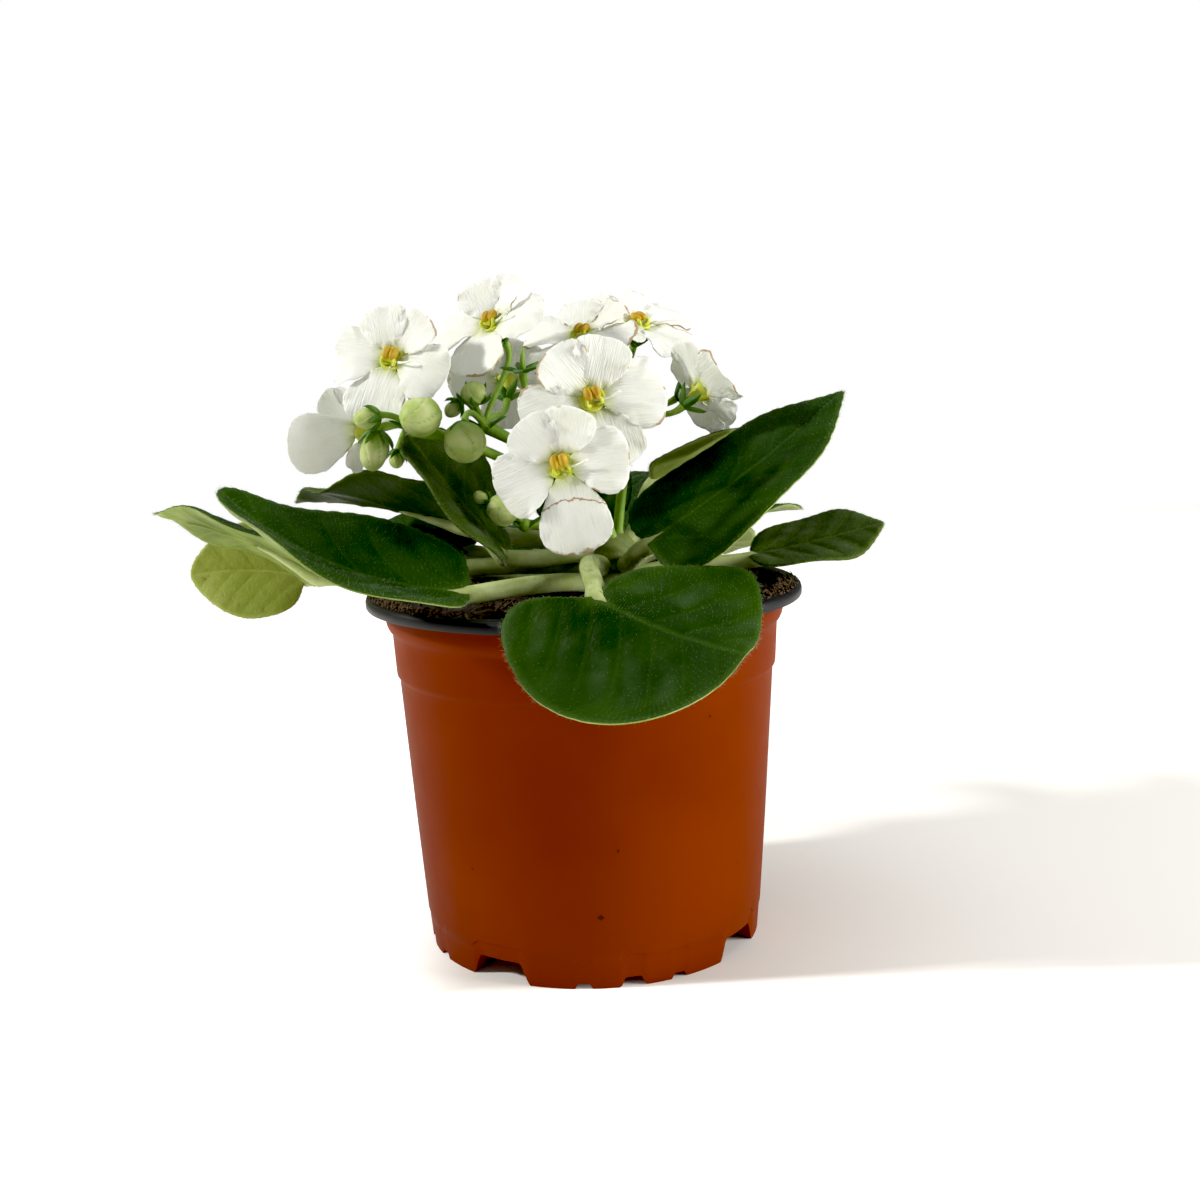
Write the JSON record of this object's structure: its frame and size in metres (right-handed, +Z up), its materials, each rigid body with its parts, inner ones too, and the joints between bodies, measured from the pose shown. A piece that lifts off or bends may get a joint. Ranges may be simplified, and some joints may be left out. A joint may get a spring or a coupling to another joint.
{
  "type": "potted african violet",
  "caption": "African violet in bloom: a rosette of hairy spoon-shaped leaves with white flowers on fanning stalks, in a tapered plastic nursery pot.",
  "frame": {"origin": "centre of the ring that the pot stands on", "axes": "+Z up along the pot's axis; -Y is the front of the plant as pictured; +X its right"},
  "size_m": [0.202, 0.1856, 0.1832],
  "materials": {
    "pot": "satin orange-brown",
    "potting_mix": "dark, crumbly, matte",
    "crown": "pale green, downy",
    "leaf": "dark green, velvety",
    "old_leaf": "yellow-green, velvety",
    "stalk": "light green, downy",
    "petal": "white, finely sparkling",
    "anther": "orange-yellow, smooth"
  },
  "bodies": {
    "root": {"pot": "pot", "soil": "potting_mix", "crown": "crown", "leaf_front": "leaf", "leaf_front_left": "leaf", "leaf_left": "leaf", "leaf_old": "old_leaf", "leaf_left_back": "leaf", "leaf_left_low": "leaf", "leaf_inner_left": "leaf", "leaf_front_right": "leaf", "leaf_right": "leaf", "leaf_right_back": "leaf", "leaf_inner_right": "leaf", "leaf_back_right": "leaf", "leaf_back": "leaf", "leaf_back_left": "leaf", "leaf_back_low": "leaf", "bloom_left": "petal", "anthers_left": "anther", "bloom_low_left": "petal", "anthers_low_left": "anther", "bloom_top": "petal", "anthers_top": "anther", "bloom_behind": "petal", "anthers_behind": "anther", "bloom_back_left": "petal", "anthers_back_left": "anther", "bloom_back_right": "petal", "anthers_back_right": "anther", "bloom_front_high": "petal", "anthers_front_high": "anther", "bloom_front_low": "petal", "anthers_front_low": "anther", "bloom_right": "petal", "anthers_right": "anther", "bloom_right_back": "petal", "anthers_right_back": "anther", "stalk_left": "stalk", "stalk_middle": "stalk", "stalk_front": "stalk", "stalk_back": "stalk", "stalk_young": "stalk"}
  },
  "joints": []
}
